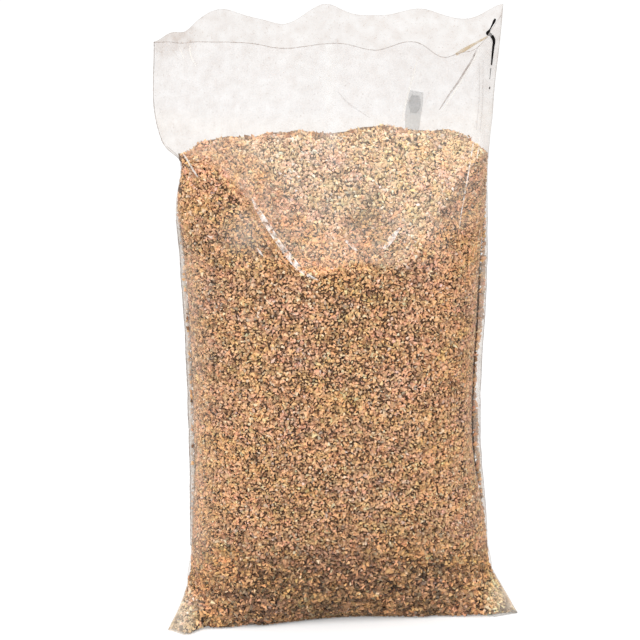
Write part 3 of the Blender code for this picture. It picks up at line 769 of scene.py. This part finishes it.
corner, tri, area, outward = solid_faces(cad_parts["chip_fill"])
fill_tree = search_tree(corner, tri)
film_tree = search_tree(points, faces)
spots, way = scattered()
on_heap = (way[:, 2] > HEAP_FACES_UP) & (spots[:, 2] > HEAP_FROM)
squeezed = into_creases()
into_ears()
spots[:, 1] -= np.where((way[:, 1] < FRONT_FACING) & ~on_heap, foot_bulge(spots[:, 0], spots[:, 2]), 0.0)
at_foot = (spots[:, 2] < FOOT_TOP) & ~on_heap
press_on_film((squeezed | at_foot) & ~on_heap)

# The film is veiled with dust and glare where it stands free of the chips. A haze hides its share of
# what lies behind it. Places are heights in metres, or shares of the width from the left.

LEAST_HAZE = 0.003
HIGH_UP = (0.80, 0.98)
FREE_HAZE, FREE_HAZE_HIGH, FREE_GAP, FREE_FROM = 0.15, 0.03, (0.005, 0.016), (0.50, 0.60)
# Haze with painted glare on the right half of the front, from the heap's height up
RIGHT_HAZE, RIGHT_HAZE_FROM, RIGHT_HAZE_ACROSS = 0.13, (0.66, 0.71), (0.50, 0.68)
RIGHT_HAZE_WAVE, WAVE_CELLS, WAVE_HEIGHT, WAVE_SEED = 0.010, 40, 0.03, 5
CLEARER, CLEARER_PLACE, CLEARER_WIDTH, CLEARER_BELOW = 0.45, 0.08, 0.08, (0.84, 0.88)
# A painted highlight: a pale band down the middle of the front film, high up, where a flat pleat catches the
# light
HIGHLIGHT_BAND, HIGHLIGHT_BAND_PLACE, HIGHLIGHT_BAND_WIDTH, HIGHLIGHT_BAND_FROM = 0.12, 0.497, 0.022, (0.79, 0.84)
BACK_HAZE, BACK_HAZE_HIGH, BACK_HAZE_FROM = 0.20, 0.05, (0.78, 0.79)
DOUBLED, DOUBLED_FROM, DOUBLED_ACROSS = 0.16, (0.965, 0.985), (0.11, 0.15)
GUSSET, GUSSET_ACROSS, GUSSET_FROM = 0.32, (0.925, 0.945), (0.74, 0.82)
FIN_HAZE_LEFT, FIN_HAZE_RIGHT, FIN_REACH, FIN_HEIGHTS = 0.68, 0.42, 0.028, (0.09, 0.18, 0.66, 0.76)
EAR_HAZE, EAR_REACH, EAR_BELOW = 0.36, 0.05, (0.02, 0.07)
SIDE_LEFT, SIDE_LEFT_REACH, SIDE_RIGHT, SIDE_RIGHT_REACH = 0.20, 0.09, 0.13, 0.10
SIDE_HEIGHTS = (0.06, 0.14, 0.60, 0.70)
# Smears on the front: haze, x, spread across, height, and spread up
SMEARS = ((0.22, -0.160, 0.034, 0.695, 0.034), (0.16, 0.148, 0.030, 0.700, 0.060))
COOL_FROM, BACK_TINT_FROM = (0.86, 0.90), (0.77, 0.79)
COOL, WARM = (0.73, 0.72, 0.73), (0.82, 0.75, 0.67)
BACK_COLOR, GUSSET_COLOR, HIGHLIGHT_BAND_COLOR = (0.375, 0.275, 0.210), (0.53, 0.48, 0.44), (0.82, 0.81, 0.80)
FIN_COLOR, EAR_COLOR = (0.66, 0.60, 0.54), (0.84, 0.71, 0.56)


def haze_and_glare():
    """The colour of the haze and painted glare at each point of the film, and its amount as a fourth value.
    """
    x, z = film[:, :, 0], film[:, :, 2]
    across = np.broadcast_to(place[None, :], z.shape)
    edge = np.minimum(across, 1.0 - across)
    is_front = np.broadcast_to(~back[None, :], z.shape)
    gap = np.array([fill_tree.find_nearest(Vector(p))[3] for p in points]).reshape(z.shape)
    free = smoothstep(*FREE_GAP, gap) * smoothstep(*FREE_FROM, z)
    high = smoothstep(*HIGH_UP, z)
    wave = value_noise(around * WAVE_CELLS, plain[:, :, 2] / WAVE_HEIGHT, WAVE_CELLS, WAVE_SEED)
    hazy = smoothstep(*RIGHT_HAZE_FROM, z + RIGHT_HAZE_WAVE * wave) * smoothstep(*RIGHT_HAZE_ACROSS, across)
    front = np.maximum((FREE_HAZE + FREE_HAZE_HIGH * high) * free, RIGHT_HAZE * hazy)
    clearer = bump(CLEARER_PLACE, CLEARER_WIDTH, across) * (1.0 - smoothstep(*CLEARER_BELOW, z))
    highlight_band = bump(HIGHLIGHT_BAND_PLACE, HIGHLIGHT_BAND_WIDTH, across) * smoothstep(*HIGHLIGHT_BAND_FROM, z) * is_front
    front = front * (1.0 - CLEARER * clearer) + HIGHLIGHT_BAND * highlight_band
    doubled = smoothstep(*DOUBLED_FROM, z) * (1.0 - smoothstep(*DOUBLED_ACROSS, across))
    behind = (BACK_HAZE + BACK_HAZE_HIGH * high) * smoothstep(*BACK_HAZE_FROM, z) + DOUBLED * doubled
    gusset = smoothstep(*GUSSET_ACROSS, across) * smoothstep(*GUSSET_FROM, z) * is_front
    fin = bump(0.0, FIN_REACH, edge) * stretch(*FIN_HEIGHTS, z)
    ear = bump(0.0, EAR_REACH, edge) * (1.0 - smoothstep(*EAR_BELOW, z))
    beside = np.maximum(SIDE_LEFT * bump(0.0, SIDE_LEFT_REACH, across),
                        SIDE_RIGHT * bump(1.0, SIDE_RIGHT_REACH, across))
    smear = sum(haze * bump(x_here, wide, x) * bump(z_here, tall, z)
                for haze, x_here, wide, z_here, tall in SMEARS)
    amount = np.maximum.reduce((
        LEAST_HAZE + np.where(is_front, front, behind),
        GUSSET * gusset,
        np.where(across < 0.5, FIN_HAZE_LEFT, FIN_HAZE_RIGHT) * fin,
        EAR_HAZE * ear,
        beside * stretch(*SIDE_HEIGHTS, z) * is_front,
        smear * is_front))
    colors = np.ones((*z.shape, 4))
    tones = colors[:, :, :3]
    tones[:] = WARM
    from_behind = np.where(is_front, 0.0, smoothstep(*BACK_TINT_FROM, z))
    for share, color in (
            (smoothstep(*COOL_FROM, z), COOL), (from_behind, BACK_COLOR),
            (gusset * (1.0 - 0.5 * free), GUSSET_COLOR), (highlight_band, HIGHLIGHT_BAND_COLOR), (fin, FIN_COLOR),
            (ear, EAR_COLOR)):
        tones += share[:, :, None] * (np.array(color) - tones)
    colors[:, :, 3] = amount
    return colors


paint(sack, "haze_and_glare", haze_and_glare())

# The chips' bodies: uneven shards, each with six corners

SHARD_CORNERS = 0.5 * np.array(((1, 0, 0), (-1, 0, 0), (0, 1, 0), (0, -1, 0), (0, 0, 1), (0, 0, -1)), float)
SHARD = np.array((
    (0, 2, 4), (2, 1, 4), (1, 3, 4), (3, 0, 4), (2, 0, 5), (1, 2, 5), (3, 1, 5), (0, 3, 5)))
LENGTH, LENGTH_SPREAD, LONGER_LOW = 0.0079, 0.26, 0.40
WIDTH_SHARE, THICKNESS_SHARE, UNEVENNESS = (0.60, 0.95), (0.40, 0.70), 0.20
DEPTH, DEPTH_AT_FOOT, DEPTH_SPREAD, HEAP_LIFT = 0.36, 0.30, (-0.0010, 0.0016), 0.0030
LOW_DOWN = (0.06, 0.20)
SKIN, BODY_UNDER_FILM, CREASE_SKIN, OVER_FLOOR = 0.0001, 0.0003, 0.0012, 0.0008


def random_turns(number):
    w, x, y, z = unit(rng.normal(size=(number, 4))).T
    return np.stack((
        np.stack((1 - 2 * (y * y + z * z), 2 * (x * y - z * w), 2 * (x * z + y * w)), axis=-1),
        np.stack((2 * (x * y + z * w), 1 - 2 * (x * x + z * z), 2 * (y * z - x * w)), axis=-1),
        np.stack((2 * (x * z - y * w), 2 * (y * z + x * w), 1 - 2 * (x * x + y * y)), axis=-1)), axis=1)


def keep_inside(body, size):
    """Moves the corners that stick out through the film back under it."""
    by_wall = np.zeros(count, bool)
    for k in np.flatnonzero(spots[:, 2] > CHEST_HEIGHT):
        by_wall[k] = film_tree.find_nearest(Vector(spots[k]))[3] < size[k]
    for k in np.flatnonzero(squeezed | at_foot | by_wall):
        for m in range(len(SHARD_CORNERS)):
            hit, normal, _, _ = film_tree.find_nearest(Vector(body[k, m]))
            if (Vector(body[k, m]) - hit).dot(normal) > -FILM:
                body[k, m] = hit - normal * BODY_UNDER_FILM
    for crease, inward in ((0, np.maximum), (ACROSS, np.minimum)):
        line = film[TURN_ROWS:, crease]
        mine = squeezed & (spots[:, 0] * line[0, 0] > 0.0)
        edge_x = np.interp(body[mine, :, 2], line[:, 2], line[:, 0])
        body[mine, :, 0] = inward(body[mine, :, 0], edge_x - math.copysign(CREASE_SKIN, line[0, 0]))


def chip_bodies():
    size = rng.lognormal(math.log(LENGTH), LENGTH_SPREAD, count)
    size *= 1.0 + LONGER_LOW * lowness
    width, thickness = size * rng.uniform(*WIDTH_SHARE, count), size * rng.uniform(*THICKNESS_SHARE, count)
    body = SHARD_CORNERS[None] + rng.uniform(-UNEVENNESS, UNEVENNESS, (count, len(SHARD_CORNERS), 3))
    shape = np.stack((size, width, thickness), axis=1)
    body = np.einsum("nij,nkj->nki", random_turns(count), body * shape[:, None, :])
    depth = np.where(at_foot, DEPTH_AT_FOOT, DEPTH) * size + rng.uniform(*DEPTH_SPREAD, count)
    depth -= np.where(on_heap, HEAP_LIFT * rng.random(count) ** 2, 0.0)
    body += (spots - way * depth[:, None])[:, None, :]
    out = np.einsum("nki,ni->nk", body - spots[:, None, :], way)
    past = np.where(on_heap[:, None], 0.0, np.maximum(out + SKIN, 0.0))
    body -= past[:, :, None] * way[:, None, :]
    body[:, :, 2] = np.maximum(body[:, :, 2], OVER_FLOOR)
    keep_inside(body, size)
    return body


# The chips' colours

SHADE, SHADE_LOW, SHADE_FROM, SHADE_FULL, SHADE_FULL_LOW = 0.66, 0.28, 0.0012, 0.0054, 0.0014
FREE_OF_FILM = 0.58             # above this height the fill's surface counts, not the film's
GAP_TINT = np.array((0.85, 1.05, 1.15))         # the shade between chips is a warm one
TAN, PALE, BROWN = (0.760, 0.460, 0.246), (0.76, 0.59, 0.40), (0.36, 0.185, 0.084)
PALE_SHARE, BROWN_SHARE = 0.10, 0.12
TONE_SPREAD, SPREAD_LOW = 0.29, 0.9
HUE_SPREAD = np.array(((0.03, 0.0, -0.06), (0.03, -0.025, 0.03)))
# Soft patches: their length, seed, and gain of red, green and blue
PATCHES = ((0.022, 21, (0.13, 0.13, 0.13)), (0.070, 22, (0.08, 0.08, 0.08)), (0.030, 23, (0.02, 0.01, -0.10)),
           (0.024, 24, (0.02, -0.03, 0.05)))
# Broad stretches of lighter and darker wood: x, height, spread and gain
BROAD = ((-0.156, 0.570, 0.035, -0.22), (-0.199, 0.441, 0.045, -0.22), (-0.245, 0.675, 0.045, -0.26),
         (0.045, 0.700, 0.030, -0.30), (-0.045, 0.636, 0.032, 0.42), (0.140, 0.660, 0.030, 0.36),
         (0.185, 0.780, 0.030, 0.22), (0.150, 0.550, 0.035, 0.16), (-0.040, 0.290, 0.035, 0.16))
# Painted shade: the chips darker and warmer towards the floor, less so at the sides
BASE_DARKER, SIDES_LESS, SIDES, BASE_HEIGHTS = 0.60, 0.36, (0.15, 0.23), (0.01, 0.22)
BASE_SHADE_TINT = np.array((1.0, 0.93, 0.84))
EAR_TINT, EAR_TINT_BELOW, EAR_TINT_FROM = np.array((1.7, 2.3, 3.0)), (0.03, 0.06), (0.235, 0.265)
# Painted light on the heap's top: paler and cooler to the right of a slanting line, but for one spot left
# without it
HEAP_PAINTED_LIGHT = np.array((1.19, 1.41, 1.62))
LIT_FROM, LIT_SLOPE, LIT_AT, LIT_SOFTNESS = -0.050, 0.90, 0.70, 0.016     # the painted light starts here
UNLIT_SPOT_PLACE, UNLIT_SPOT_WIDTH, UNLIT_SPOT_BELOW = 0.045, 0.055, (0.700, 0.716)
LIGHTEST, DARKEST = 0.92, 0.02


def depth_shade(body):
    """Each corner is darker where it lies deep between the chip's neighbours."""
    deep = -np.einsum("nki,ni->nk", body - spots[:, None, :], way)
    for k in np.flatnonzero((spots[:, 2] > FREE_OF_FILM) & ~on_heap):
        for m in range(len(SHARD_CORNERS)):
            deep[k, m] = min(deep[k, m], fill_tree.find_nearest(Vector(body[k, m]))[3])
    full = (SHADE_FULL - SHADE_FULL_LOW * lowness)[:, None]
    return 1.0 - (SHADE + SHADE_LOW * lowness)[:, None] * smoothstep(SHADE_FROM, full, deep)


def patchy(length, seed):
    """Slow change of tone over the sack, -1..1 or so, in soft patches of about this length."""
    number, flatter, whole_turn = 9, (1.0, 1.0, 1.7), 6.28
    chance = np.random.default_rng(seed)
    waves = chance.normal(size=(number, 3)) * flatter * (2.0 / length)
    return 2.0 * np.sin(spots @ waves.T + chance.uniform(0.0, whole_turn, number)).mean(axis=1)


def own_tones():
    """Each chip's own wood colour."""
    shift = rng.normal(size=(count, 1)) * TONE_SPREAD * (1.0 + SPREAD_LOW * lowness)[:, None]
    shift = shift + rng.normal(size=(count, 2)) @ HUE_SPREAD
    for length, seed, gains in PATCHES:
        shift += patchy(length, seed)[:, None] * gains
    for x_here, z_here, spread, gain in BROAD:
        shift += (gain * bump(x_here, spread, spots[:, 0]) * bump(z_here, spread, spots[:, 2]))[:, None]
    kind = rng.random(count)[:, None]
    wood_here = np.where(kind < PALE_SHARE, PALE, np.where(kind > 1.0 - BROWN_SHARE, BROWN, TAN))
    return wood_here * np.exp(shift)


def chip_tones():
    """Their colours with the painted shade that darkens the base, the pale ears and the painted light on the
    heap.
    """
    x, z = spots[:, 0], spots[:, 2]
    tones = own_tones()
    to_side = smoothstep(*SIDES, np.abs(x))
    darker = (BASE_DARKER - SIDES_LESS * to_side) * (1.0 - smoothstep(*BASE_HEIGHTS, z))
    tones *= (1.0 - darker)[:, None] * BASE_SHADE_TINT ** lowness[:, None]
    at_ear = (1.0 - smoothstep(*EAR_TINT_BELOW, z)) * smoothstep(*EAR_TINT_FROM, np.abs(x))
    tones *= 1.0 + at_ear[:, None] * (EAR_TINT - 1.0)
    lit_from = LIT_FROM - LIT_SLOPE * (z - LIT_AT)
    unlit_spot = bump(UNLIT_SPOT_PLACE, UNLIT_SPOT_WIDTH, x) * (1.0 - smoothstep(*UNLIT_SPOT_BELOW, z))
    lit = on_heap * smoothstep(-LIT_SOFTNESS, LIT_SOFTNESS, x - lit_from) * (1.0 - unlit_spot)
    tones *= 1.0 + lit[:, None] * (HEAP_PAINTED_LIGHT - 1.0)
    tones *= np.minimum(1.0, LIGHTEST / tones.max(axis=1))[:, None]
    return np.maximum(tones, DARKEST)


GRAIN, GRAIN_SHAPE, GRAIN_DETAIL, GRAIN_SHARE = 650.0, (1.0, 1.0, 0.35), 3.0, 0.55
GRAIN_TONES = ((0.30, (0.60, 0.55, 0.50)), (0.65, (1.15, 1.15, 1.15)))


def chip_material():
    material, tree, out = nodes_of("wood_chips")
    grain = noise_node(tree, GRAIN, GRAIN_DETAIL, GRAIN_SHAPE)
    grained = tree.nodes.new("ShaderNodeMix")
    grained.data_type = "RGBA"
    grained.blend_type = "MULTIPLY"
    grained.inputs["Factor"].default_value = GRAIN_SHARE
    tree.links.new(painted(tree, "wood")["Color"], grained.inputs["A"])
    tree.links.new(ramp_node(tree, grain, GRAIN_TONES), grained.inputs["B"])
    shader = new_node(tree, "ShaderNodeBsdfPrincipled", Roughness=0.8)
    tree.links.new(grained.outputs["Result"], shader.inputs["Base Color"])
    tree.links.new(bump_node(tree, grain, strength=0.4, distance=0.0006), shader.inputs["Normal"])
    tree.links.new(shader.outputs[0], out.inputs["Surface"])
    return material


count = len(spots)
lowness = 1.0 - smoothstep(*LOW_DOWN, spots[:, 2])
body = chip_bodies()
shade = depth_shade(body)
tones = chip_tones()

# The chips as five pieces: the heap, and the front and the back each in two
FRONT_SPLIT, BACK_SPLIT = 0.33, 0.38
in_front = ~on_heap & (way[:, 1] <= 0.0)
at_back = ~on_heap & (way[:, 1] > 0.0)
groups = {
    "chips_heap": on_heap,
    "chips_front_low": in_front & (spots[:, 2] < FRONT_SPLIT),
    "chips_front_high": in_front & (spots[:, 2] >= FRONT_SPLIT),
    "chips_back_low": at_back & (spots[:, 2] < BACK_SPLIT),
    "chips_back_high": at_back & (spots[:, 2] >= BACK_SPLIT),
}
wood = chip_material()


def chip_piece(name, chosen):
    number = int(chosen.sum())
    corners = len(SHARD_CORNERS)
    shards = (SHARD[None] + corners * np.arange(number)[:, None, None]).reshape(-1, 3)
    piece = new_mesh(name, body[chosen].reshape(-1, 3), shards, False, [wood])
    colors = np.ones((number, corners, 4))
    # Each corner's colour is its chip's tone times the painted shade deep between the chips
    colors[:, :, :3] = tones[chosen][:, None, :] * shade[chosen][:, :, None] ** GAP_TINT
    paint(piece, "wood", colors)
    return piece


chips = [chip_piece(name, chosen) for name, chosen in groups.items()]

# What shows in the gaps between the outer chips: more wood, deeper in and in shade
CORE_DEPTH, CORE_SHARE, JUST_INSIDE = 0.0058, 0.4, 0.0001
CORE_GRAIN, CORE_DETAIL = 260.0, 3.0
CORE_TONES = ((0.3, (0.080, 0.040, 0.019)), (0.7, (0.160, 0.084, 0.040)))


def sunk():
    """The fill's points, moved inward, but by no more than a share of its thickness there."""
    inward = np.zeros_like(corner)
    for k in range(3):
        np.add.at(inward, tri[:, k], -outward * area[:, None])
    moved = corner.copy()
    for k, (p, n) in enumerate(zip(corner, unit(inward))):
        thick = fill_tree.ray_cast(Vector(p + n * JUST_INSIDE), Vector(n))[3] or 0.0
        moved[k] = p + n * min(CORE_DEPTH, CORE_SHARE * thick)
    return moved


def core_material():
    material, tree, out = nodes_of("wood_shade")
    shader = new_node(tree, "ShaderNodeBsdfPrincipled", Roughness=0.9)
    tone = ramp_node(tree, noise_node(tree, CORE_GRAIN, CORE_DETAIL), CORE_TONES)
    tree.links.new(tone, shader.inputs["Base Color"])
    tree.links.new(shader.outputs[0], out.inputs["Surface"])
    return material


core = new_mesh("chips_core", sunk(), tri, True, [core_material()])

# The stage: pale floor, soft light and the photograph's camera

FLOOR_HALF, FLOOR_DROP = 14.0, 0.0005
FLOOR_TONE, FLOOR_GLOW = 0.64, 0.30     # the glow is for the camera alone
SKY_SEEN, SKY_LIGHT = 1.0, 1.15


def floor_material():
    material, tree, out = nodes_of("floor")
    matte = new_node(tree, "ShaderNodeBsdfDiffuse", Color=grey(FLOOR_TONE))
    glow = new_node(tree, "ShaderNodeEmission", Strength=FLOOR_GLOW)
    unlit = new_node(tree, "ShaderNodeEmission", Strength=0.0)
    path = tree.nodes.new("ShaderNodeLightPath")
    both = tree.nodes.new("ShaderNodeAddShader")
    tree.links.new(matte.outputs[0], both.inputs[0])
    only_seen = blend(tree, path.outputs["Is Camera Ray"], unlit.outputs[0], glow.outputs[0])
    tree.links.new(only_seen, both.inputs[1])
    tree.links.new(both.outputs[0], out.inputs["Surface"])
    return material


def area_light(name, location, width, energy):
    data = bpy.data.lights.new(name, "AREA")
    data.shape = "SQUARE"
    data.size = width
    data.energy = energy
    made = bpy.data.objects.new(name, data)
    made.location = location
    made.rotation_mode = "QUATERNION"
    made.rotation_quaternion = (TARGET - Vector(location)).to_track_quat("-Z", "Y")
    bpy.context.collection.objects.link(made)


def studio_sky():
    sky = bpy.data.worlds.new("studio")
    sky.use_nodes = True
    tree = sky.node_tree
    tree.nodes.clear()
    path = tree.nodes.new("ShaderNodeLightPath")
    seen = new_node(tree, "ShaderNodeBackground", Color=grey(1.0), Strength=SKY_SEEN)
    light = new_node(tree, "ShaderNodeBackground", Color=grey(1.0), Strength=SKY_LIGHT)
    out = tree.nodes.new("ShaderNodeOutputWorld")
    mixed = blend(tree, path.outputs["Is Camera Ray"], light.outputs[0], seen.outputs[0])
    tree.links.new(mixed, out.inputs["Surface"])
    return sky


def photograph_camera():
    data = bpy.data.cameras.new("camera")
    data.sensor_width = SENSOR
    data.lens = FOCAL / FRAME * SENSOR
    data.shift_x = (0.5 * FRAME - CENTRE[0]) / FRAME
    data.shift_y = (CENTRE[1] - 0.5 * FRAME) / FRAME
    made = bpy.data.objects.new("camera", data)
    made.matrix_world = Matrix.Translation(eye) @ Matrix((right, upward, -look)).transposed().to_4x4()
    bpy.context.collection.objects.link(made)
    return made


floor_corners = [(FLOOR_HALF * x, FLOOR_HALF * y, 0.0) for x, y in ((-1, -1), (1, -1), (1, 1), (-1, 1))]
stage = new_mesh("floor", floor_corners, ((0, 1, 2, 3),), False, [floor_material()], 4)
stage.location.z = -FLOOR_DROP
area_light("over", (-0.5, -0.9, 3.4), width=2.6, energy=55.0)
area_light("side", (-2.4, -3.4, 2.2), width=1.6, energy=35.0)
bpy.context.scene.world = studio_sky()
bpy.context.scene.camera = photograph_camera()
bpy.context.scene.view_settings.view_transform = "Standard"

# Attach the pieces to the root, and hide the CAD's parts

for piece in (sack, lines, core, *chips):
    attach(piece, "root")
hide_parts("film_bag")
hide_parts("chip_fill")
